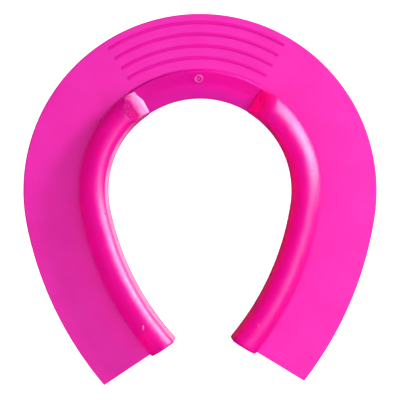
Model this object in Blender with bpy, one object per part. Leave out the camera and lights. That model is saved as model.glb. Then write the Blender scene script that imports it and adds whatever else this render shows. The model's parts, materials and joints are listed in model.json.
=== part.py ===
"""Hoof rim pad with snow tubes: a flat horseshoe web that lies between shoe and hoof, and on it two hollow
flexible tubes along the inner edge, a low ridge between their toe ends, and four ribs at the toe.

Lengths are in metres. Angles are in degrees and run from the middle of the toe (+Y) towards the heels.
"""

import math

import bmesh
import bpy
from mathutils import Matrix, Vector

# Outline of the web, seen from above
TOE_RADIUS = 0.075  # outer edge round the toe
TOE_ARC = 100.0  # how far round each side the toe's arc runs before the branch's wider arc
BRANCH_RADIUS = 0.150  # outer edge of each branch
HEEL_REACH = 0.0817  # from the centre of the toe's arc back to the heel tips
HEEL_CUT = 32.5  # between a heel's end face and the line across both heels
SHOE_BAND = 0.0235  # free width of the web outside the tubes, where the shoe lies
PLATE_THICKNESS = 0.003
PLATE_CHAMFER = 0.0004  # on the outer edge of the web
SEAT_DEPTH = 0.0005  # the inner margin, which carries the tubes and the ridge, lies this far below the band
SEAM = 0.0003  # between two pieces that meet along a cut

# Snow tubes, which stand on the inner margin of the web
TUBE_WIDTH = 0.0125
TUBE_HEIGHT = 0.0125  # above its seat
TUBE_SIDE = 0.0075  # upright part of the sides, below the round crown
TUBE_WALL = 0.00275
TUBE_OVERHANG = 0.0008  # how far a tube stands out past the heel end of the web
TOE_GAP = 31.5  # each side of the toe, to where a tube's end face meets the seat
TUBE_END_SLOPE = 62.0  # a tube's toe end face against the seat
NUB_RADIUS = 0.0006
NUB_FROM_HEEL = 0.0115  # along the crown from the heel end

# Ridge across the toe gap
RIDGE_HEIGHT = 0.002  # above its seat
RIDGE_CROWN = 0.0008  # from the ridge's upright outer face to its highest line
RIDGE_RUN = 0.0054  # from the highest line down to the seat, on the inner side
GATE_RADIUS = 0.0019  # stub of the moulding gate, on the ridge's inner slope
GATE_HEIGHT = 0.0005
GATE_DIMPLE = 0.0011  # radius of the hollow in the stub
GATE_FROM_CREST = 0.003  # from the ridge's highest line to the stub's middle

# Ribs at the toe
RIB_INSET = 0.0037  # from the outer edge to the middle of the first rib
RIB_PITCH = 0.005
RIB_CLEAR = 0.003  # least free width left between the last rib and the ridge
RIB_WIDTH = 0.0015
RIB_HEIGHT = 0.00035
RIB_SPAN = 31.0  # each side of the toe

# Fineness of the faceted surfaces
TOE_STEP = 3.33  # degrees
BRANCH_STEP = 2.0  # degrees
CROWN_STEPS = 12
BORE_STEPS = 16
RIB_STEPS = 6
RIDGE_STEPS = 7
CUT_MARGIN = 6.0  # degrees by which a sweep runs past the plane that trims it
WELD = 0.00001  # points this close are one

PINK = (0.95, 0.008, 0.47, 1.0)
CLOCKWISE = Vector((0.0, 0.0, -1.0))
UP = Vector((0.0, 0.0, 1.0))

SEAT = PLATE_THICKNESS - SEAT_DEPTH
TUBE_OUTER_RADIUS = TOE_RADIUS - SHOE_BAND
OPENING_RADIUS = TUBE_OUTER_RADIUS - TUBE_WIDTH
TUBE_MID_RADIUS = OPENING_RADIUS + TUBE_WIDTH / 2


def outward(angle):
    """Direction away from an arc's centre, at an angle from the toe towards the right heel."""
    return Vector((math.sin(math.radians(angle)), math.cos(math.radians(angle)), 0.0))


def onward(angle):
    """Direction along the web towards the right heel."""
    return Vector((math.cos(math.radians(angle)), -math.sin(math.radians(angle)), 0.0))


BRANCH_CENTRE = outward(TOE_ARC) * (TOE_RADIUS - BRANCH_RADIUS)
HEEL_ANGLE = math.degrees(math.acos((-HEEL_REACH - BRANCH_CENTRE.y) / BRANCH_RADIUS))
HEEL_TIP = BRANCH_CENTRE + outward(HEEL_ANGLE) * BRANCH_RADIUS
HEEL_NORMAL = Vector((-math.sin(math.radians(HEEL_CUT)), -math.cos(math.radians(HEEL_CUT)), 0.0))


def steps_for(turn, step):
    return max(1, round(abs(turn) / step))


def new_object(name, bm, frame, material):
    mesh = bpy.data.meshes.new(name)
    bmesh.ops.recalc_face_normals(bm, faces=bm.faces)
    bm.to_mesh(mesh)
    bm.free()
    mesh.shade_smooth()
    mesh.set_sharp_from_angle(angle=math.radians(30))
    obj = bpy.data.objects.new(name, mesh)
    bpy.context.collection.objects.link(obj)
    obj.parent = frame
    if material:
        mesh.materials.append(material)
    return obj


def hide(obj):
    """Marks an object that only shapes another one."""
    obj.hide_render = True
    obj.display_type = "WIRE"
    return obj


def combine(obj, other, operation):
    modifier = obj.modifiers.new(other.name, "BOOLEAN")
    modifier.operation = operation
    modifier.object = other


def mirror(obj):
    """Completes a half that is open at the middle of the toe."""
    modifier = obj.modifiers.new("Mirror", "MIRROR")
    modifier.merge_threshold = WELD


def plastic(name):
    material = bpy.data.materials.new(name)
    material.use_nodes = True
    shader = material.node_tree.nodes["Principled BSDF"]
    shader.inputs["Base Color"].default_value = PINK
    shader.inputs["Roughness"].default_value = 0.35
    shader.inputs["Metallic"].default_value = 0.0
    return material


def sweep(section, start):
    """Carries a closed section from an angle near the toe along the right branch, past the heel."""
    bm = bmesh.new()
    ring = [bm.verts.new(outward(start) * radius + UP * height) for radius, height in section]
    edges = [bm.edges.new(pair) for pair in zip(ring, ring[1:] + ring[:1])]
    toe_turn = TOE_ARC - start
    branch_turn = HEEL_ANGLE + CUT_MARGIN - TOE_ARC
    toe = bmesh.ops.spin(
        bm, geom=ring + edges, cent=(0, 0, 0), axis=CLOCKWISE,
        angle=math.radians(toe_turn), steps=steps_for(toe_turn, TOE_STEP),
    )
    bmesh.ops.spin(
        bm, geom=toe["geom_last"], cent=BRANCH_CENTRE, axis=CLOCKWISE,
        angle=math.radians(branch_turn), steps=steps_for(branch_turn, BRANCH_STEP),
    )
    return bm


def trim(bm, point, normal):
    """Cuts away what lies past a plane, and closes the cut."""
    everything = bm.verts[:] + bm.edges[:] + bm.faces[:]
    cut = bmesh.ops.bisect_plane(bm, geom=everything, plane_co=point, plane_no=normal, clear_outer=True)
    edges = [item for item in cut["geom_cut"] if isinstance(item, bmesh.types.BMEdge)]
    bmesh.ops.contextual_create(bm, geom=edges)


def close_ends(bm):
    bmesh.ops.holes_fill(bm, edges=[edge for edge in bm.edges if edge.is_boundary])


def tube_end_plane():
    """A point and the normal, towards the toe and up, of the right tube's toe end face."""
    slope = math.radians(TUBE_END_SLOPE)
    point = outward(TOE_GAP) * TUBE_MID_RADIUS + UP * SEAT
    return point, UP * math.cos(slope) - onward(TOE_GAP) * math.sin(slope)


def along_end_slope(height):
    """How far back from its foot a tube's end face lies at a height above the seat."""
    return height / math.tan(math.radians(TUBE_END_SLOPE))


def make_plate(frame):
    low, high = 0.0, PLATE_THICKNESS
    section = [
        (OPENING_RADIUS, low),
        (TOE_RADIUS - PLATE_CHAMFER, low),
        (TOE_RADIUS, low + PLATE_CHAMFER),
        (TOE_RADIUS, high - PLATE_CHAMFER),
        (TOE_RADIUS - PLATE_CHAMFER, high),
        (TUBE_OUTER_RADIUS + SEAM, high),
        (TUBE_OUTER_RADIUS + SEAM, SEAT),
        (OPENING_RADIUS, SEAT),
    ]
    bm = sweep(section, 0.0)
    trim(bm, HEEL_TIP, HEEL_NORMAL)
    mirror(new_object("rim_plate", bm, frame, plastic("plate_polyurethane")))


def tube_section():
    """The tube's outer section: upright sides and a round crown."""
    crown_height = TUBE_HEIGHT - TUBE_SIDE
    shoulder = SEAT + TUBE_SIDE
    points = [(OPENING_RADIUS, SEAT)]
    for step in range(CROWN_STEPS + 1):
        turn = math.pi * step / CROWN_STEPS
        across = TUBE_MID_RADIUS - math.cos(turn) * TUBE_WIDTH / 2
        points.append((across, shoulder + math.sin(turn) * crown_height))
    points.append((TUBE_OUTER_RADIUS, SEAT))
    return points


def bore_section():
    """The oval hollow that leaves the tube's wall all round."""
    middle = SEAT + TUBE_HEIGHT / 2
    half_width = TUBE_WIDTH / 2 - TUBE_WALL
    half_height = TUBE_HEIGHT / 2 - TUBE_WALL
    turns = [math.tau * step / BORE_STEPS for step in range(BORE_STEPS)]
    return [(TUBE_MID_RADIUS + math.cos(t) * half_width, middle + math.sin(t) * half_height) for t in turns]


def flip_to_left(bm):
    bmesh.ops.scale(bm, vec=(-1, 1, 1), verts=bm.verts)


def nub_place():
    """On the crown of the right tube, a little way from its heel end."""
    crown_radius = BRANCH_RADIUS - TOE_RADIUS + TUBE_MID_RADIUS
    end = HEEL_TIP + HEEL_NORMAL * TUBE_OVERHANG
    angle = HEEL_ANGLE
    for _ in range(4):  # walks the angle until the crown is that far from the heel end's plane
        point = BRANCH_CENTRE + outward(angle) * crown_radius
        error = (point - end).dot(HEEL_NORMAL) + NUB_FROM_HEEL
        angle -= math.degrees(error / crown_radius)
    point = BRANCH_CENTRE + outward(angle) * crown_radius
    return point + UP * (SEAT + TUBE_HEIGHT)


def make_tube(side, is_left, frame):
    point, normal = tube_end_plane()
    tube = sweep(tube_section(), TOE_GAP - CUT_MARGIN)
    trim(tube, point, normal)
    trim(tube, HEEL_TIP + HEEL_NORMAL * TUBE_OVERHANG, HEEL_NORMAL)

    bore_top = TUBE_HEIGHT - TUBE_WALL
    back = along_end_slope(bore_top) + TUBE_WALL / math.sin(math.radians(TUBE_END_SLOPE))
    bore = sweep(bore_section(), TOE_GAP + math.degrees(back / TUBE_MID_RADIUS))
    close_ends(bore)

    nub = bmesh.new()
    bmesh.ops.create_icosphere(nub, subdivisions=1, radius=NUB_RADIUS, matrix=Matrix.Translation(nub_place()))

    for bm in (tube, bore, nub):
        if is_left:
            flip_to_left(bm)
    obj = new_object(f"{side}_snow_tube", tube, frame, plastic(f"{side}_tube_polyurethane"))
    combine(obj, hide(new_object(f"{side}_bore_cutter", bore, frame, None)), "DIFFERENCE")
    combine(obj, hide(new_object(f"{side}_nub_form", nub, frame, None)), "UNION")


def ridge_section():
    """Upright outer face, a narrow crown near it, and a round slope down to the seat on the inner side."""
    crown = TUBE_OUTER_RADIUS - RIDGE_CROWN
    points = [(TUBE_OUTER_RADIUS, SEAT)]
    points.append((TUBE_OUTER_RADIUS, SEAT + RIDGE_HEIGHT - RIDGE_CROWN))
    for step in range(RIDGE_STEPS + 1):
        turn = math.pi / 2 * step / RIDGE_STEPS
        points.append((crown - math.sin(turn) * RIDGE_RUN, SEAT + math.cos(turn) * RIDGE_HEIGHT))
    return points


def gate_frame():
    """Places the gate's stub square to the ridge's slope, in the middle of the toe."""
    turn = math.asin(GATE_FROM_CREST / RIDGE_RUN)
    height = SEAT + math.cos(turn) * RIDGE_HEIGHT
    tilt = math.atan2(math.sin(turn) * RIDGE_HEIGHT, math.cos(turn) * RIDGE_RUN)
    from_centre = TUBE_OUTER_RADIUS - RIDGE_CROWN - GATE_FROM_CREST
    return Matrix.Translation((0, from_centre, height)) @ Matrix.Rotation(tilt, 4, "X")


def disc(radius, low, high, frame):
    """A short round bar along the local Z of a frame."""
    bm = bmesh.new()
    middle = frame @ Matrix.Translation((0, 0, (low + high) / 2))
    bmesh.ops.create_cone(
        bm, cap_ends=True, segments=BORE_STEPS, radius1=radius, radius2=radius,
        depth=high - low, matrix=middle,
    )
    return bm


def make_ridge(frame):
    point, normal = tube_end_plane()
    bm = sweep(ridge_section(), 0.0)
    trim(bm, point + normal * SEAM, -normal)
    obj = new_object("toe_ridge", bm, frame, plastic("ridge_polyurethane"))
    mirror(obj)
    place = gate_frame()
    stub = disc(GATE_RADIUS, -GATE_HEIGHT, GATE_HEIGHT, place)
    dimple = disc(GATE_DIMPLE, 0.0, 2 * GATE_HEIGHT, place)
    combine(obj, hide(new_object("gate_form", stub, frame, None)), "UNION")
    combine(obj, hide(new_object("gate_dimple_cutter", dimple, frame, None)), "DIFFERENCE")


def make_rib(number, radius, frame):
    """A low round-topped bar with round ends, whose flat foot lies on the web."""
    bm = bmesh.new()
    arch = []
    for step in range(RIB_STEPS + 1):
        turn = math.pi * step / RIB_STEPS
        across = radius + math.cos(turn) * RIB_WIDTH / 2
        height = PLATE_THICKNESS + math.sin(turn) * RIB_HEIGHT
        arch.append(bm.verts.new(outward(-RIB_SPAN) * across + UP * height))
    edges = [bm.edges.new(pair) for pair in zip(arch, arch[1:])]
    half = RIB_STEPS // 2
    outer_half = arch[: half + 1] + edges[:half]
    bmesh.ops.spin(
        bm, geom=outer_half, cent=outward(-RIB_SPAN) * radius, axis=UP,
        angle=math.pi, steps=RIB_STEPS,
    )
    last = bmesh.ops.spin(
        bm, geom=arch + edges, cent=(0, 0, 0), axis=CLOCKWISE,
        angle=math.radians(2 * RIB_SPAN), steps=steps_for(2 * RIB_SPAN, TOE_STEP),
    )["geom_last"]
    outer_verts = [v for v in last if isinstance(v, bmesh.types.BMVert) and v.co.xy.length > radius - WELD]
    outer_edges = [e for e in last if isinstance(e, bmesh.types.BMEdge) and set(e.verts) <= set(outer_verts)]
    bmesh.ops.spin(
        bm, geom=outer_verts + outer_edges, cent=outward(RIB_SPAN) * radius, axis=CLOCKWISE,
        angle=math.pi, steps=RIB_STEPS,
    )
    bmesh.ops.remove_doubles(bm, verts=bm.verts, dist=WELD)
    close_ends(bm)
    new_object(f"toe_rib_{number}", bm, frame, plastic(f"rib_{number}_polyurethane"))


def make_ribs(frame):
    room = SHOE_BAND - RIB_INSET - RIB_WIDTH / 2 - RIB_CLEAR
    count = 1 + math.floor(room / RIB_PITCH)
    for index in range(count):
        make_rib(index + 1, TOE_RADIUS - RIB_INSET - index * RIB_PITCH, frame)


def main():
    for obj in list(bpy.data.objects):
        bpy.data.objects.remove(obj, do_unlink=True)
    toe_centre = bpy.data.objects.new("toe_centre", None)
    bpy.context.collection.objects.link(toe_centre)
    toe_centre.location = (0, (HEEL_REACH - TOE_RADIUS) / 2, 0)
    make_plate(toe_centre)
    make_tube("left", True, toe_centre)
    make_tube("right", False, toe_centre)
    make_ridge(toe_centre)
    make_ribs(toe_centre)


main()
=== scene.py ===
import json
import math

import bmesh
import bpy
from mathutils import Matrix, Vector

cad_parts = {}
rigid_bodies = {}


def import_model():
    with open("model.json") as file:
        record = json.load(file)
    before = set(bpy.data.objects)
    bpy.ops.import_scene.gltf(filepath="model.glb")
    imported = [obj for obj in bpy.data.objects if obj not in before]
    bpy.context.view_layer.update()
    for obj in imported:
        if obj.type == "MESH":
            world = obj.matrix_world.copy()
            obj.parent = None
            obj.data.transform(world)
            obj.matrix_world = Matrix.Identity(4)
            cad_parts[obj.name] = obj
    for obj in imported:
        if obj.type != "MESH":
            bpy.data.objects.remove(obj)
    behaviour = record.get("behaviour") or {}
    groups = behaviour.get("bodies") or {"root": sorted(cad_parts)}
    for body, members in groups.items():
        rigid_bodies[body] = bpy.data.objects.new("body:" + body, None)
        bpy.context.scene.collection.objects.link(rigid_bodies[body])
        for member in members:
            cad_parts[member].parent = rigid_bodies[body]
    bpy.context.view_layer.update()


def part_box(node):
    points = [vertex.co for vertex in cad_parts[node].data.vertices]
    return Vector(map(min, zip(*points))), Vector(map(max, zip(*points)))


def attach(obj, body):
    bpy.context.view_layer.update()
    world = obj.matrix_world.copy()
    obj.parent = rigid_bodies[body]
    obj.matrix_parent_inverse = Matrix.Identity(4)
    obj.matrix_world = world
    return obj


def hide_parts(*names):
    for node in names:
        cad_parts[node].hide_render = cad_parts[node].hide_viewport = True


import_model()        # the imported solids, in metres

mm = 0.001
weld = 0.004 * mm      # points this close are merged
near = 0.01 * mm       # a point this close to a place lies at it
smoothAngle = 35       # degrees: a sharper turn than this shows as an edge
clockwise = (0, 0, 1)  # the spin operator runs clockwise, seen from above, round this axis
backwards = (0, 0, -1)
white = "#FFFFFF"

# the pad's outline, taken from the frame where the frame has it
plateLow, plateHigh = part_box("rim_plate")
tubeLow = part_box("right_snow_tube")[0]
toeRadius = (plateHigh.x - plateLow.x) / 2
toeCentre = Vector((0, plateHigh.y - toeRadius, 0))
webTop = plateHigh.z
seat = tubeLow.z  # the web's inner margin, under the tubes and the ridge
heelReach = toeCentre.y - plateLow.y

padOutline = {
    "webWidth": 36.0 * mm,
    "tubeWidth": 12.5 * mm,
    "toeArc": 100.0,       # degrees from the toe's middle to where the wider branch arc starts
    "branchRadius": 150.0 * mm,
    "heelCut": 32.5,       # degrees between a heel's end and the line across both heels
    "pastHeel": 6.0,       # degrees that a sweep runs on before the heel cut trims it
    "toeSteps": 40,
    "branchSteps": 26,
    "toeGap": 31.5,        # degrees from the toe's middle to the foot of a tube's end
    "tubeEndSlope": 62.0,  # degrees from the flat
}
openingRadius = toeRadius - padOutline["webWidth"]
tubeMiddle = openingRadius + padOutline["tubeWidth"] / 2
tubeOuter = openingRadius + padOutline["tubeWidth"]


def outward(angle):
    return Vector((math.sin(math.radians(angle)), math.cos(math.radians(angle)), 0))


def onward(angle):
    return Vector((math.cos(math.radians(angle)), -math.sin(math.radians(angle)), 0))


branchCentre = toeCentre + outward(padOutline["toeArc"]) * (toeRadius - padOutline["branchRadius"])
heelLine = toeCentre.y - heelReach - branchCentre.y  # where the heels end, from the branch arc's centre
heelAngle = math.degrees(math.acos(heelLine / padOutline["branchRadius"]))
heelTip = branchCentre + outward(heelAngle) * padOutline["branchRadius"]
heelSlant = math.radians(padOutline["heelCut"])
heelNormal = Vector((-math.sin(heelSlant), -math.cos(heelSlant), 0))
endSlope = math.radians(padOutline["tubeEndSlope"])
tubeEndFoot = toeCentre + outward(padOutline["toeGap"]) * tubeMiddle + Vector((0, 0, seat))
tubeEndNormal = Vector((0, 0, math.cos(endSlope))) - onward(padOutline["toeGap"]) * math.sin(endSlope)


def hexToLinear(hexColour):
    # the sRGB curve, and full opacity
    channels = [int(hexColour[i:i + 2], 16) / 255 for i in (1, 3, 5)]
    return tuple(c / 12.92 if c <= 0.04045 else ((c + 0.055) / 1.055) ** 2.4 for c in channels) + (1.0,)


def addNode(tree, kind, settings=None, links=None):
    # settings: attribute or socket to value; links: socket to the output that feeds it
    node = tree.nodes.new(kind)
    for key, value in (settings or {}).items():
        if isinstance(key, str) and hasattr(node, key):
            setattr(node, key, value)
        else:
            node.inputs[key].default_value = value
    for key, source in (links or {}).items():
        tree.links.new(source, node.inputs[key])
    return node


# modelling, as by hand: a flat section stands at the toe's middle,
# and is spun round the toe and down a branch

def nameIt(piece, name):
    piece.name = name
    piece.data.name = name


def startSection(name, innerRadius, outerRadius, low, high):
    bpy.ops.object.select_all(action="DESELECT")
    middle = (0, toeCentre.y + (innerRadius + outerRadius) / 2, (low + high) / 2)
    bpy.ops.mesh.primitive_plane_add(size=1, location=middle, rotation=(math.pi / 2, 0, math.pi / 2))
    piece = bpy.context.object
    nameIt(piece, name)
    piece.scale = (outerRadius - innerRadius, high - low, 1)
    bpy.ops.object.transform_apply(location=True, rotation=True, scale=True)
    bpy.ops.object.mode_set(mode="EDIT")
    return piece


def drawProfile(name, points):
    # points are (distance from the toe arc's centre, height)
    # a small plane is merged to one vertex, which is extruded from each point to the next
    bpy.ops.object.select_all(action="DESELECT")
    start = Vector((0, toeCentre.y + points[0][0], points[0][1]))
    bpy.ops.mesh.primitive_plane_add(size=mm, location=start)
    piece = bpy.context.object
    nameIt(piece, name)
    bpy.ops.object.transform_apply(location=True, rotation=True, scale=True)
    bpy.ops.object.mode_set(mode="EDIT")
    bpy.ops.mesh.merge(type="CENTER")
    for here, there in zip(points, points[1:]):
        step = (0, there[0] - here[0], there[1] - here[1])
        bpy.ops.mesh.extrude_region_move(TRANSFORM_OT_translate={"value": step})
    bpy.ops.mesh.select_all(action="SELECT")
    bpy.ops.mesh.edge_face_add()
    return piece


def selectVerts(piece, test):
    bpy.ops.mesh.select_mode(type="VERT")
    bpy.ops.mesh.select_all(action="DESELECT")
    shape = bmesh.from_edit_mesh(piece.data)
    for vert in shape.verts:
        vert.select_set(test(vert.co))
    shape.select_flush(True)
    bmesh.update_edit_mesh(piece.data)


def isAt(radius, height):
    # a test for the one corner of a section that lies here
    corner = Vector((0, toeCentre.y + radius, height))
    return lambda p: (p - corner).length < near


def radiusOf(point):
    return (Vector((point.x, point.y, 0)) - toeCentre).length


def roundCorners(piece, radius, segments, test, fullness=0.5):
    # fullness 0.5 is a true round, 0.25 a flat chamfer
    selectVerts(piece, test)
    bpy.ops.mesh.bevel(offset=radius, segments=segments, affect="VERTICES", profile=fullness)


def openSection():
    bpy.ops.mesh.select_all(action="SELECT")
    bpy.ops.mesh.delete(type="ONLY_FACE")
    bpy.ops.mesh.select_all(action="SELECT")


def spinBy(angle, steps, centre, axis=clockwise):
    bpy.ops.mesh.spin(steps=steps, angle=math.radians(angle), center=centre, axis=axis)


def turnSection(piece, angle):
    # the whole section moves round to an angle, and the sweep starts from there
    bpy.ops.object.mode_set(mode="OBJECT")
    turn = Matrix.Translation(toeCentre) @ Matrix.Rotation(-math.radians(angle), 4, "Z")
    piece.data.transform(turn @ Matrix.Translation(-toeCentre))
    bpy.ops.object.mode_set(mode="EDIT")
    bpy.ops.mesh.select_all(action="SELECT")


def sweepToHeel(startAngle):
    toeTurn = padOutline["toeArc"] - startAngle
    toeSteps = round(padOutline["toeSteps"] * toeTurn / padOutline["toeArc"])
    spinBy(toeTurn, toeSteps, toeCentre)
    branchTurn = heelAngle + padOutline["pastHeel"] - padOutline["toeArc"]
    spinBy(branchTurn, padOutline["branchSteps"], branchCentre)


def trimAt(point, normal):
    bpy.ops.mesh.select_all(action="SELECT")
    bpy.ops.mesh.bisect(plane_co=point, plane_no=normal, use_fill=True, clear_outer=True)


def weldAll(within=weld):
    bpy.ops.mesh.select_all(action="SELECT")
    bpy.ops.mesh.remove_doubles(threshold=within)


def weldAndTurnOut():
    weldAll()
    bpy.ops.mesh.normals_make_consistent(inside=False)
    bpy.ops.object.mode_set(mode="OBJECT")


def mirrorAcross(piece):
    bpy.ops.object.modifier_add(type="MIRROR")
    piece.modifiers[-1].merge_threshold = near
    bpy.ops.object.modifier_apply(modifier=piece.modifiers[-1].name)


def onlySelect(piece):
    bpy.ops.object.select_all(action="DESELECT")
    piece.select_set(True)
    bpy.context.view_layer.objects.active = piece


def finishPiece(piece, material, nodes=()):
    onlySelect(piece)
    bpy.ops.object.shade_smooth_by_angle(angle=math.radians(smoothAngle))
    piece.data.materials.clear()
    piece.data.materials.append(material)
    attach(piece, "root")
    if nodes:
        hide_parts(*nodes)
    print("made", piece.name, len(piece.data.polygons), "faces")


# material: polyurethane, cast in a polished mould. Clear resin with a strong pink dye: light goes a few
# millimetres in, and only red comes far out again, so shaded sides glow crimson and never go grey

polyurethane = {
    # glow is the share of the light that spreads inside before it comes out again
    # painted light: the web's pink is drawn paler than the thick tubes' and the ridge's
    # for the lamps' sheen on its flat top, and for the light that white paper sends back through the thin web
    "web": {
        "pink": "#FF36C4", "deepPink": "#F924B0",
        "roughness": 0.42, "specular": 0.22, "ripple": 0.05 * mm,
        "glow": 0.25, "lightDepth": 3 * mm, "depthByColour": (1.0, 0.1, 0.3),
    },
    "tube": {
        "pink": "#FF02A8", "deepPink": "#FB00A0",
        "roughness": 0.34, "specular": 1.0, "ripple": 0.13 * mm,
        "glow": 0.85, "lightDepth": 11 * mm, "depthByColour": (1.0, 0.022, 0.09),
    },
    # the ridge and the ribs are too slim for light to spread far inside them
    "ridge": {
        "pink": "#E2009E", "deepPink": "#DE0098",
        "roughness": 0.35, "specular": 0.38, "ripple": 0.04 * mm,
        "glow": 0.55, "lightDepth": 2.5 * mm, "depthByColour": (1.0, 0.08, 0.25),
        "fades": [
            # painted light: brighter towards its right end, for the light that comes through the ridge from
            # the lamps on the right
            {"pink": "#FF00A8", "along": "right", "from": -16 * mm, "to": 12 * mm},
            # painted shade: towards the opening the ridge runs out into a thin lip, which is drawn duller
            {"pink": "#DC0CA0", "along": "fromToeCentre",
             "from": tubeOuter - 6 * mm, "to": tubeOuter - 11 * mm},
        ],
    },
    "rib": {
        "pink": "#F816B0", "deepPink": "#F412A6",
        "roughness": 0.42, "specular": 0.22, "ripple": 0.05 * mm,
        "glow": 0.6, "lightDepth": 0.4 * mm, "depthByColour": (1.0, 0.3, 0.5),
    },
    # where it was torn or trimmed the skin is gone, and the bare inside scatters more light
    "torn": {
        "pink": "#FF80CC", "deepPink": "#FF66C0",
        "roughness": 0.55, "specular": 0.4, "ripple": 0.3 * mm,
        "glow": 0.6, "lightDepth": 0.4 * mm, "depthByColour": (1.0, 0.4, 0.6),
    },
    # the torn end of one tube, white along its foot; its pale pink is partly torn skin and partly a painted
    # reflection of the window
    "endSkinAndPaintedReflection": {
        "pink": "#FF9CD8", "deepPink": "#FF8CD0",
        "roughness": 0.55, "specular": 0.3, "ripple": 0.3 * mm,
        "glow": 0.5, "lightDepth": 0.4 * mm, "depthByColour": (1.0, 0.4, 0.6),
        "fades": [
            {"pink": "#FFC6F0", "along": "up", "from": seat + 3 * mm, "to": seat + 1.5 * mm},
            # painted shade: darker towards the top, where the end rounds over into the tube
            {"pink": "#DC0092", "along": "up", "from": seat + 5 * mm, "to": seat + 9.5 * mm},
        ],
    },
    "gate": {
        "pink": "#FF70D2", "deepPink": "#FF50C4",
        "roughness": 0.5, "specular": 0.6, "ripple": 0.3 * mm,
        "glow": 0.4, "lightDepth": 0.4 * mm, "depthByColour": (1.0, 0.4, 0.6),
    },
    "ior": 1.48,
    "cloudWidth": 14 * mm,     # pale and deep clouds left by the pour
    "cloudDetail": 3.0,
    "rippleWidth": 6 * mm,     # slow waves where the skin shrank away from the mould
    "rippleDetail": 1.5,
    "rippleRange": (0.25, 0.75),   # the noise values over which the polish changes
    "roughnessSpread": 0.07,   # the mould's polish, from place to place
    "grainWidth": 0.8 * mm,    # the mould's own grain, drawn about twice as coarse as it is so that it shows
    "grainDetail": 2.0,
    "grainDepth": 0.012 * mm,
    "nibSpacing": 5 * mm,      # dust that lay in the mould and stands up in the skin
    "nibRadius": 0.3 * mm,
    "nibHeight": 0.02 * mm,
}
# a Mix node's colour sockets, which share their names with its number sockets
mixShare = 0
mixFirst = 6
mixSecond = 7
mixResult = 2


def makePolyurethane(name, look):
    material = bpy.data.materials.new(name)
    material.use_nodes = True
    tree = material.node_tree
    tree.nodes.clear()
    place = addNode(tree, "ShaderNodeTexCoord").outputs["Object"]
    noise = {}
    for pattern in ("cloud", "ripple", "grain"):
        width = polyurethane[pattern + "Width"]
        detail = polyurethane[pattern + "Detail"]
        texture = addNode(tree, "ShaderNodeTexNoise", {"Scale": 1 / width, "Detail": detail},
                          {"Vector": place})
        noise[pattern] = texture.outputs["Fac"]
    dust = addNode(tree, "ShaderNodeTexVoronoi", {"Scale": 1 / polyurethane["nibSpacing"]}, {"Vector": place})
    nib = addNode(tree, "ShaderNodeMapRange",
                  {"From Min": 0.0, "From Max": polyurethane["nibRadius"] / polyurethane["nibSpacing"],
                   "To Min": 1.0, "To Max": 0.0},
                  {"Value": dust.outputs["Distance"]})
    dyeAndPaintedLight = addNode(tree, "ShaderNodeMix",
                  {"data_type": "RGBA", mixFirst: hexToLinear(look["pink"]),
                   mixSecond: hexToLinear(look["deepPink"])},
                  {mixShare: noise["cloud"]})
    # fades paint the pink lighter or darker along one direction, most of them as painted light and shade
    if "fades" in look:
        apart = addNode(tree, "ShaderNodeSeparateXYZ", None, {"Vector": place})
        flat = addNode(tree, "ShaderNodeMapping", {"Location": -toeCentre, "Scale": (1, 1, 0)},
                       {"Vector": place})
        reach = addNode(tree, "ShaderNodeVectorMath", {"operation": "LENGTH"},
                        {"Vector": flat.outputs["Vector"]})
        measure = {"right": apart.outputs["X"], "up": apart.outputs["Z"],
                   "fromToeCentre": reach.outputs["Value"]}
        for fade in look["fades"]:
            share = addNode(tree, "ShaderNodeMapRange", {"From Min": fade["from"], "From Max": fade["to"]},
                            {"Value": measure[fade["along"]]})
            dyeAndPaintedLight = addNode(tree, "ShaderNodeMix",
                          {"data_type": "RGBA", mixSecond: hexToLinear(fade["pink"])},
                          {mixShare: share.outputs["Result"], mixFirst: dyeAndPaintedLight.outputs[mixResult]})
    low, high = polyurethane["rippleRange"]
    spread = polyurethane["roughnessSpread"]
    polish = addNode(tree, "ShaderNodeMapRange",
                     {"From Min": low, "From Max": high, "To Min": look["roughness"] - spread,
                      "To Max": look["roughness"] + spread},
                     {"Value": noise["ripple"]})
    waves = addNode(tree, "ShaderNodeBump", {"Strength": 1.0, "Distance": look["ripple"]},
                    {"Height": noise["ripple"]})
    nibs = addNode(tree, "ShaderNodeBump", {"Strength": 1.0, "Distance": polyurethane["nibHeight"]},
                   {"Height": nib.outputs["Result"], "Normal": waves.outputs["Normal"]})
    skin = addNode(tree, "ShaderNodeBump", {"Strength": 1.0, "Distance": polyurethane["grainDepth"]},
                   {"Height": noise["grain"], "Normal": nibs.outputs["Normal"]})
    shader = addNode(tree, "ShaderNodeBsdfPrincipled",
                     {"subsurface_method": "BURLEY", "IOR": polyurethane["ior"],
                      "Specular IOR Level": look["specular"], "Subsurface Weight": look["glow"],
                      "Subsurface Scale": look["lightDepth"], "Subsurface Radius": look["depthByColour"]},
                     {"Base Color": dyeAndPaintedLight.outputs[mixResult], "Roughness": polish.outputs["Result"],
                      "Normal": skin.outputs["Normal"]})
    addNode(tree, "ShaderNodeOutputMaterial", None, {"Surface": shader.outputs["BSDF"]})
    print("mixed", name)
    return material


satinPinkPaintedSheen = makePolyurethane("satinPinkPaintedSheenPolyurethane", polyurethane["web"])
polishedPink = makePolyurethane("polishedPinkPolyurethane", polyurethane["tube"])
ridgePink = makePolyurethane("ridgePinkPolyurethane", polyurethane["ridge"])
ribPink = makePolyurethane("ribPinkPolyurethane", polyurethane["rib"])
tornPink = makePolyurethane("tornPinkPolyurethane", polyurethane["torn"])
endSkinAndPaintedReflectionPink = makePolyurethane("endSkinPaintedReflectionPolyurethane", polyurethane["endSkinAndPaintedReflection"])
gatePink = makePolyurethane("gatePinkPolyurethane", polyurethane["gate"])

# rim plate

rimPlate = {
    "outerRound": 0.7 * mm,
    "innerRound": 0.6 * mm,
    "roundSegments": 4,
    "seatEdge": 1.2 * mm,   # how far inside the tube's foot line the web steps down to the seat
    "stepSlope": 0.2 * mm,
}


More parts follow.
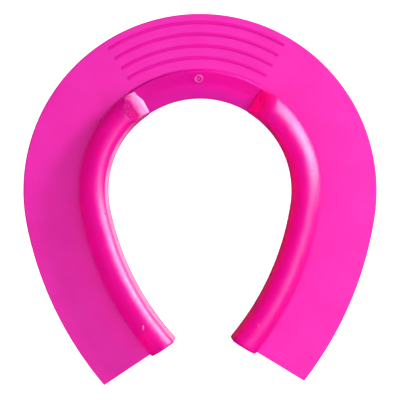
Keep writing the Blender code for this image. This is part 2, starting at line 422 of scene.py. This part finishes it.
def makeRimPlate():
    step = tubeOuter - rimPlate["seatEdge"]
    segments = rimPlate["roundSegments"]
    innerCorners = [(openingRadius, 0), (openingRadius, seat)]
    stepCorners = [(step - rimPlate["stepSlope"], seat), (step, webTop)]
    outerCorners = [(toeRadius, webTop), (toeRadius, 0)]
    piece = drawProfile("rimPlate", innerCorners + stepCorners + outerCorners)
    for corner in innerCorners:
        roundCorners(piece, rimPlate["innerRound"], segments, isAt(*corner))
    for corner in outerCorners:
        roundCorners(piece, rimPlate["outerRound"], segments, isAt(*corner))
    openSection()
    sweepToHeel(0)
    trimAt(heelTip, heelNormal)
    weldAndTurnOut()
    mirrorAcross(piece)
    finishPiece(piece, satinPinkPaintedSheen, ["rim_plate"])


makeRimPlate()

# snow tubes

snowTube = {
    "height": 12.5 * mm,         # above the seat
    "innerFoot": openingRadius - 0.15 * mm,
    "inner": openingRadius + 0.7 * mm,   # the inner wall leans, so that the pad came out of its mould
    "outer": tubeOuter - 0.5 * mm,
    "partingHeight": 5.8 * mm,   # above the seat, where the two halves of the mould met
    "partingLedge": 0.06 * mm,
    "partingRise": 0.25 * mm,    # the ledge is a slope and not a step
    "innerRound": 4.7 * mm,      # the crown's top lies this far from its inner side, so a little inwards
    "crownSquash": 0.74,         # the crown is a flattened round, on upright walls
    "crownFullness": 0.44,
    "crownSegments": 12,
    "crownWeld": 0.02 * mm,      # merges the points where the crown's two rounds meet
    "footFillet": 0.3 * mm,      # the hollow curve where the outer flank meets the web
    "footRound": 0.27 * mm,      # a little less than the fillet's width, which it may not use up
    "footSegments": 4,
    "sink": 2.4 * mm,            # into the web, so that no seam shows
    "beforeToeEnd": 6.0,         # degrees that the sweep starts ahead of the toe end, which is then trimmed
    "toeRound": 3.2 * mm,        # how far back the toe end is rounded
    "heelRound": 1.1 * mm,       # the same at the heel end
    "endSteps": 8,
    "overhang": 0.8 * mm,        # of the heel end, beyond the web
    "wall": 2.75 * mm,
    "boreDepth": 6.0,            # degrees of the branch arc, about as deep as one sees in from the heel
    "boreSteps": 10,
}
tubeTop = seat + snowTube["height"]


def drawEndIn(piece, push, narrowBy, onFoot=False):
    # the end face that is selected is pushed out and drawn in all round, or towards its foot
    # drawn in all round, it loses narrowBy at its top and again at its foot
    shape = bmesh.from_edit_mesh(piece.data)
    rim = [vert.co for vert in shape.verts if vert.select]
    low = Vector([min(p[i] for p in rim) for i in range(3)])
    high = Vector([max(p[i] for p in rim) for i in range(3)])
    share = 1 - (1 if onFoot else 2) * narrowBy / (high.z - low.z)
    centre = (low + high) / 2 + push
    if onFoot:
        foot = [p for p in rim if p.z < low.z + near]
        centre = sum(foot, Vector()) / len(foot) + push
    bpy.ops.mesh.extrude_region_move(TRANSFORM_OT_translate={"value": push})
    bpy.ops.transform.resize(value=(share, share, share), center_override=centre)


def roundTheEnd(piece, along, radius, onFoot=False):
    # along runs with the tube, so that a sloping end doesn't rise above the crown
    steps = snowTube["endSteps"]
    for step in range(steps):
        before = math.radians(90 * step / steps)
        after = math.radians(90 * (step + 1) / steps)
        push = along * radius * (math.sin(after) - math.sin(before))
        drawEndIn(piece, push, radius * (math.cos(before) - math.cos(after)), onFoot)


def makeRightTube():
    inner = snowTube["inner"]
    outer = snowTube["outer"]
    floor = seat - snowTube["sink"]
    parting = seat + snowTube["partingHeight"]
    ledge = inner - snowTube["partingLedge"]
    filletEdge = outer + snowTube["footFillet"]
    innerRound = snowTube["innerRound"]
    outerRound = outer - inner - innerRound
    segments = snowTube["crownSegments"]
    fullness = snowTube["crownFullness"]
    piece = drawProfile("rightSnowTube", [
        (snowTube["innerFoot"], floor), (ledge, parting), (inner, parting + snowTube["partingRise"]),
        (inner, tubeTop), (outer, tubeTop), (outer, webTop), (filletEdge, webTop), (filletEdge, floor)])
    roundCorners(piece, innerRound, segments, isAt(inner, tubeTop), fullness)
    roundCorners(piece, outerRound, segments, isAt(outer, tubeTop), fullness)
    roundCorners(piece, snowTube["footRound"], snowTube["footSegments"], isAt(outer, webTop))
    selectVerts(piece, lambda p: p.z > tubeTop - outerRound - near)
    bpy.ops.transform.resize(value=(1, 1, snowTube["crownSquash"]), center_override=(0, 0, tubeTop))
    openSection()
    weldAll(snowTube["crownWeld"])
    startAngle = padOutline["toeGap"] - snowTube["beforeToeEnd"]
    turnSection(piece, startAngle)
    sweepToHeel(startAngle)
    toeRound = snowTube["toeRound"]
    trimAt(tubeEndFoot - tubeEndNormal * toeRound, tubeEndNormal)
    roundTheEnd(piece, -onward(padOutline["toeGap"]) / math.sin(endSlope), toeRound, onFoot=True)
    heelRound = snowTube["heelRound"]
    trimAt(heelTip + heelNormal * (snowTube["overhang"] - heelRound), heelNormal)
    roundTheEnd(piece, heelNormal, heelRound)
    drawEndIn(piece, Vector((0, 0, 0)), snowTube["wall"] - heelRound)
    spinBy(snowTube["boreDepth"], snowTube["boreSteps"], branchCentre, backwards)
    weldAndTurnOut()
    return piece


def makeLeftTube(original):
    onlySelect(original)
    bpy.ops.object.duplicate()
    piece = bpy.context.object
    nameIt(piece, "leftSnowTube")
    piece.scale = (-1, 1, 1)
    bpy.ops.object.transform_apply(location=True, rotation=True, scale=True)
    bpy.ops.object.mode_set(mode="EDIT")
    weldAndTurnOut()
    return piece


rightTube = makeRightTube()
leftTube = makeLeftTube(rightTube)
finishPiece(rightTube, polishedPink, ["right_snow_tube"])
finishPiece(leftTube, polishedPink, ["left_snow_tube"])

# toe ridge: its corners from the opening outwards
# inwards is measured from the outer face, a rise from the seat, and proud from the opening's wall

toeRidge = {
    "lip": {"proud": 0.03 * mm, "rise": 0.3 * mm, "round": 0.6 * mm, "segments": 4},
    "crease": {"inwards": 6.2 * mm, "rise": 0.04 * mm, "round": 0.9 * mm, "segments": 5},
    "bulge": {"inwards": 3.2 * mm, "rise": 1.35 * mm, "round": 1.3 * mm, "segments": 5},
    "crestIn": {"inwards": 1.5 * mm, "rise": 2.0 * mm, "round": 0.38 * mm, "segments": 3},
    "crestOut": {"inwards": 0.75 * mm, "rise": 1.95 * mm, "round": 0.6 * mm, "segments": 5},
    "sink": 1.2 * mm,
    "steps": 26,
    "pastTubeEnd": 5.0,      # degrees that the sweep runs on before it is trimmed inside the tube
    "intoTube": 2.0 * mm,    # how far the ridge runs into a tube's end
}


def makeToeRidge():
    floor = seat - toeRidge["sink"]
    lip = toeRidge["lip"]
    lipEdge = openingRadius - lip["proud"]
    bends = [lip]
    corners = [(lipEdge, seat + lip["rise"])]
    for name in ("crease", "bulge", "crestIn", "crestOut"):
        bend = toeRidge[name]
        bends.append(bend)
        corners.append((tubeOuter - bend["inwards"], seat + bend["rise"]))
    piece = drawProfile("toeRidge", [(lipEdge, floor), *corners, (tubeOuter, webTop), (tubeOuter, floor)])
    for bend, corner in zip(bends, corners):
        roundCorners(piece, bend["round"], bend["segments"], isAt(*corner))
    openSection()
    spinBy(padOutline["toeGap"] + toeRidge["pastTubeEnd"], toeRidge["steps"], toeCentre)
    trimAt(tubeEndFoot - tubeEndNormal * toeRidge["intoTube"], -tubeEndNormal)
    weldAndTurnOut()
    mirrorAcross(piece)
    finishPiece(piece, ridgePink, ["toe_ridge"])


makeToeRidge()

# toe ribs

toeRibs = {
    "count": 4,
    "inset": 3.7 * mm,     # outer edge of the web to the middle of the first rib
    "pitch": 5.0 * mm,
    "width": 1.5 * mm,
    "height": 0.34 * mm,
    "sink": 0.2 * mm,
    "roundSegments": 5,
    "span": 31.0,          # degrees each side of the toe
    "steps": 30,
    "endSteps": 10,        # round each end
}


def makeToeRib(number):
    radius = toeRadius - toeRibs["inset"] - number * toeRibs["pitch"]
    half = toeRibs["width"] / 2
    piece = startSection(f"toeRib{number + 1}", radius - half, radius + half, webTop, webTop + half)
    roundCorners(piece, half, toeRibs["roundSegments"], lambda p: p.z > webTop + near)
    openSection()
    weldAll()
    bpy.ops.transform.resize(value=(1, 1, toeRibs["height"] / half), center_override=(0, 0, webTop))
    selectVerts(piece, lambda p: p.z < webTop + near)
    bpy.ops.transform.translate(value=(0, 0, -toeRibs["sink"]))
    turnSection(piece, -toeRibs["span"])
    spinBy(2 * toeRibs["span"], toeRibs["steps"], toeCentre)
    for side, axis in ((1, clockwise), (-1, backwards)):
        endAngle = side * toeRibs["span"]
        end = toeCentre + outward(endAngle) * radius
        # the outer half of the end's edge is spun half round, on to the inner half
        selectVerts(piece, lambda p: abs((p - end).dot(onward(endAngle))) < near
                    and (p - end).dot(outward(endAngle)) > -near)
        spinBy(180, toeRibs["endSteps"], end, axis)
    weldAll()
    bpy.ops.mesh.fill_holes(sides=0)
    weldAndTurnOut()
    finishPiece(piece, ribPink, [f"toe_rib_{number + 1}"])


for number in range(toeRibs["count"]):
    makeToeRib(number)

# marks of the moulding: the torn gate on the ridge, a vent pip on each tube, a torn skin on one tube's end
# that also carries a painted reflection
# shoulders are (distance from the mark's middle, height), in order from the middle outwards

markRoot = -0.5 * mm      # a mark reaches this deep into the surface
markTear = {"uniform": 0.3, "seed": 5}
gateMark = {
    "fromToeCentre": 47.4 * mm,
    "aside": 0.5 * mm,
    "lift": 0.95 * mm,    # the ridge's slope there, above the seat
    "tilt": 23.0,         # degrees, as the slope
    "ringInside": 1.2 * mm,
    "ringOutside": 1.95 * mm,
    "ringInnerRise": 0.36 * mm,
    "ringRise": 0.6 * mm,
    "ringSides": 9,
    "bead": 0.42 * mm,
    "beadRise": 0.48 * mm,
    "beadShoulder": (0.252 * mm, 0.42 * mm),
    "beadSides": 14,
    "tear": 0.34 * mm,
}
ventPip = {
    # fromHeel: degrees of the branch arc; outwards: off the middle of the crown
    "right": {"fromHeel": 3.35, "outwards": 0.1 * mm},
    "left": {"fromHeel": 4.0, "outwards": 1.45 * mm},
    "radius": 0.6 * mm,
    "rise": 0.5 * mm,
    "shoulders": [(0.24 * mm, 0.425 * mm), (0.45 * mm, 0.2 * mm)],
    "sides": 14,
    "stretch": (0.7, 1.7),   # torn off lengthwise
    "tear": 0.06 * mm,
}
tornSkinAndPaintedReflection = {
    # the faces most square to the end's normal carry the skin and a painted reflection of the window
    "reach": 0.68,        # how squarely a face looks along the end's normal to belong to the skin
    "thickness": 0.25 * mm,
    "tear": 0.3 * mm,
    "tearUniform": 0.6,
    "tearSeed": 3,
}


def turnMark(name, points, sides, place, tear, tilt=0, stretch=(1, 1)):
    # a small profile turned right round, torn a little, then set in its place
    piece = drawProfile(name, points)
    openSection()
    selectVerts(piece, lambda p: radiusOf(p) < near)
    bpy.ops.mesh.delete(type="EDGE_FACE")
    bpy.ops.mesh.select_all(action="SELECT")
    spinBy(360, sides, toeCentre)
    weldAll()
    selectVerts(piece, lambda p: p.z > -near)
    bpy.ops.transform.vertex_random(offset=tear, **markTear)
    weldAndTurnOut()
    turn = Matrix.Translation(place) @ Matrix.Rotation(math.radians(tilt), 4, "X")
    piece.data.transform(turn @ Matrix.Diagonal((*stretch, 1, 1)) @ Matrix.Translation(-toeCentre))
    return piece


def makeGateMark():
    inside = gateMark["ringInside"]
    outside = gateMark["ringOutside"]
    bead = gateMark["bead"]
    tilt = gateMark["tilt"]
    tear = gateMark["tear"]
    place = toeCentre + Vector((gateMark["aside"], gateMark["fromToeCentre"], seat + gateMark["lift"]))
    ringPoints = [(inside, markRoot), (inside, gateMark["ringInnerRise"]),
                  ((inside + outside) / 2, gateMark["ringRise"]), (outside, 0), (outside, markRoot)]
    beadPoints = [(0, gateMark["beadRise"]), gateMark["beadShoulder"], (bead, 0), (bead, markRoot),
                  (0, markRoot)]
    finishPiece(turnMark("gateRing", ringPoints, gateMark["ringSides"], place, tear, tilt), gatePink)
    finishPiece(turnMark("gateBead", beadPoints, gateMark["beadSides"], place, tear, tilt), tornPink)


def makeVentPip(name, side, spot, material):
    radius = ventPip["radius"]
    points = [(0, ventPip["rise"]), *ventPip["shoulders"], (radius, 0), (radius, markRoot), (0, markRoot)]
    crown = padOutline["branchRadius"] - toeRadius + snowTube["inner"] + snowTube["innerRound"]
    place = branchCentre + outward(heelAngle - spot["fromHeel"]) * (crown + spot["outwards"])
    place = Vector((place.x * side, place.y, tubeTop))
    piece = turnMark(name, points, ventPip["sides"], place, ventPip["tear"], stretch=ventPip["stretch"])
    finishPiece(piece, material)


def makeTornSkinAndPaintedReflection(tube):
    normal = Vector((-tubeEndNormal.x, tubeEndNormal.y, tubeEndNormal.z))
    onlySelect(tube)
    bpy.ops.object.mode_set(mode="EDIT")
    bpy.ops.mesh.select_mode(type="FACE")
    bpy.ops.mesh.select_all(action="DESELECT")
    shape = bmesh.from_edit_mesh(tube.data)
    for face in shape.faces:
        nearToe = face.calc_center_median().y > toeCentre.y + openingRadius / 2
        face.select_set(nearToe and face.normal.dot(normal) > tornSkinAndPaintedReflection["reach"])
    bmesh.update_edit_mesh(tube.data)
    bpy.ops.mesh.duplicate()
    bpy.ops.mesh.separate(type="SELECTED")
    bpy.ops.object.mode_set(mode="OBJECT")
    skin = [thing for thing in bpy.context.selected_objects if thing is not tube][0]
    nameIt(skin, "leftEndSkin")
    onlySelect(skin)
    bpy.ops.object.mode_set(mode="EDIT")
    bpy.ops.mesh.select_all(action="SELECT")
    bpy.ops.mesh.bisect(plane_co=(0, 0, seat), plane_no=(0, 0, -1), clear_outer=True)
    bpy.ops.mesh.select_all(action="SELECT")
    bpy.ops.mesh.delete_loose()
    bpy.ops.mesh.select_all(action="SELECT")
    bpy.ops.mesh.poke()
    bpy.ops.mesh.subdivide(number_cuts=1)
    # a cut leaves its points in no fixed order, and the tear has to fall on the same ones each time
    bpy.ops.mesh.sort_elements(type="CURSOR_DISTANCE", elements={"VERT"})
    bpy.ops.transform.vertex_random(offset=tornSkinAndPaintedReflection["tear"], uniform=tornSkinAndPaintedReflection["tearUniform"],
                                    seed=tornSkinAndPaintedReflection["tearSeed"])
    bpy.ops.object.mode_set(mode="OBJECT")
    bpy.ops.object.modifier_add(type="SOLIDIFY")
    skin.modifiers[-1].thickness = tornSkinAndPaintedReflection["thickness"]
    skin.modifiers[-1].offset = 1
    bpy.ops.object.modifier_apply(modifier=skin.modifiers[-1].name)
    finishPiece(skin, endSkinAndPaintedReflectionPink)


makeGateMark()
makeVentPip("rightVentPip", 1, ventPip["right"], gatePink)
makeVentPip("leftVentPip", -1, ventPip["left"], tornPink)
makeTornSkinAndPaintedReflection(leftTube)

# stage: a floor of white paper

stage = {
    "floorSize": 3.0,
    "floorDrop": 0.1 * mm,   # below the pad's underside
    "paper": "#E8E8E8",
    "paperRoughness": 0.8,
    "floorGlow": 1.0,
}


def makeFloor():
    bpy.ops.object.select_all(action="DESELECT")
    bpy.ops.mesh.primitive_plane_add(size=stage["floorSize"], location=(0, 0, -stage["floorDrop"]))
    floor = bpy.context.object
    floor.name = "floor"
    material = bpy.data.materials.new("whitePaperFloor")
    material.use_nodes = True
    shader = material.node_tree.nodes["Principled BSDF"]
    shader.inputs["Base Color"].default_value = hexToLinear(stage["paper"])
    shader.inputs["Roughness"].default_value = stage["paperRoughness"]
    shader.inputs["Emission Color"].default_value = hexToLinear(white)
    shader.inputs["Emission Strength"].default_value = stage["floorGlow"]
    floor.data.materials.append(material)
    floor.visible_diffuse = False   # the paper throws no white light up onto the pad
    floor.visible_glossy = False
    floor.visible_shadow = False
    print("laid the paper")


makeFloor()

# studio lights. at: degrees from +X towards +Y, then degrees above the floor; size in metres
# for: a body light brings out the dye and a gloss light only shines in the skin
# only: the one piece that a light falls on; distance: metres from the middle, where not lightDistance
lightDistance = 1.3
lights = {
    "keyLight": {"at": (36, 22), "size": (0.34, 0.34), "watts": 13.2, "for": "body"},
    "topSoftLight": {"at": (0, 88), "size": (0.9, 0.9), "watts": 5.0, "for": "body"},
    "rightSoftLight": {"at": (330, 45), "size": (0.9, 0.9), "watts": 4.0, "for": "body"},
    "leftSoftLight": {"at": (210, 48), "size": (0.9, 0.9), "watts": 4.4, "for": "body"},
    "heelSoftLight": {"at": (252, 30), "size": (0.9, 0.9), "watts": 3.0, "for": "body"},
    "windowLight": {"at": (26, 18), "size": (1.1, 1.75), "watts": 32.0, "for": "gloss", "colour": "#FCEEFF"},
    "windowCore": {"at": (26, 24), "size": (0.4, 0.4), "watts": 4.0, "for": "gloss", "colour": "#FCEEFF"},
    "heelWindowLight": {"at": (335, 46), "size": (0.5, 0.5), "watts": 1.3, "for": "gloss"},
    # a violet sheen along the ridge
    "ridgeShine": {"at": (62, 26), "size": (0.5, 0.4), "watts": 27.0, "for": "gloss",
                   "colour": "#C0A0FF", "only": "toeRidge"},
    # the lit paper, as the tubes mirror it
    "paperGlow": {"at": (50, -60), "size": (1.2, 1.5), "watts": 9.0, "for": "gloss", "colour": "#F6E6FF"},
    # pink light in the opening, on the tubes' inner sides
    "rightOpeningGlow": {"at": (178, -16), "size": (1.0, 0.6), "watts": 6.5, "for": "body",
                         "colour": "#FF0650"},
    # the red that the right tube's end sends out, thrown on it from the toe's side
    "rightEndGlow": {"at": (105, 12), "size": (0.02, 0.02), "watts": 0.018, "for": "body",
                     "colour": "#FF0038", "only": "rightSnowTube", "distance": 0.084},
    # pink light on its inner side near the heel, where the left branch keeps that of the opening off
    "rightHeelGlow": {"at": (165, -42), "size": (0.5, 0.5), "watts": 4.5, "for": "body",
                      "colour": "#FF06A8", "only": "rightSnowTube"},
    "leftOpeningGlow": {"at": (325, -20), "size": (1.0, 0.6), "watts": 6.0, "for": "body",
                        "colour": "#FF2898"},
}
worldGlow = 0.022


def addSoftLight(name, settings):
    azimuth, elevation = [math.radians(angle) for angle in settings["at"]]
    across = math.cos(elevation)
    place = Vector((math.cos(azimuth) * across, math.sin(azimuth) * across, math.sin(elevation)))
    place *= settings.get("distance", lightDistance)
    lamp = bpy.data.lights.new(name, "AREA")
    lamp.shape = "RECTANGLE"
    lamp.size, lamp.size_y = settings["size"]
    lamp.energy = settings["watts"]
    lamp.color = hexToLinear(settings.get("colour", white))[:3]
    light = bpy.data.objects.new(name, lamp)
    bpy.context.scene.collection.objects.link(light)
    light.visible_camera = False
    light.visible_diffuse = settings["for"] == "body"
    light.visible_glossy = settings["for"] == "gloss"
    if "only" in settings:
        lit = bpy.data.collections.new(name + "Only")
        lit.objects.link(bpy.data.objects[settings["only"]])
        light.light_linking.receiver_collection = lit
    light.location = place
    light.rotation_euler = (-place).to_track_quat("-Z", "Y").to_euler()


for name, settings in lights.items():
    addSoftLight(name, settings)
world = bpy.data.worlds.new("studio")
bpy.context.scene.world = world
world.use_nodes = True
world.node_tree.nodes["Background"].inputs["Color"].default_value = hexToLinear(white)
world.node_tree.nodes["Background"].inputs["Strength"].default_value = worldGlow
bpy.context.scene.view_settings.view_transform = "Standard"
print("lit by", len(lights), "soft lights")

# camera: straight above, as the photograph

camera = {
    "sensorWidth": 36.0,       # millimetres, as is the lens
    "distance": 0.66,          # above the web
    "viewWidth": 169.5 * mm,   # across the picture, at the web's upper face
    "roll": 1.25,              # degrees
    "toeCentreUp": 4.03 * mm,  # the toe arc's centre above the picture's middle
}


def makeCamera():
    data = bpy.data.cameras.new("camera")
    data.sensor_width = camera["sensorWidth"]
    data.lens = camera["sensorWidth"] * camera["distance"] / camera["viewWidth"]
    eye = bpy.data.objects.new("camera", data)
    bpy.context.scene.collection.objects.link(eye)
    roll = math.radians(camera["roll"])
    upInPicture = Vector((math.sin(roll), math.cos(roll), 0))
    aim = toeCentre - upInPicture * camera["toeCentreUp"]
    eye.location = (aim.x, aim.y, webTop + camera["distance"])
    eye.rotation_euler = (0, 0, -roll)
    bpy.context.scene.camera = eye
    print("camera with a", round(data.lens), "mm lens")


makeCamera()
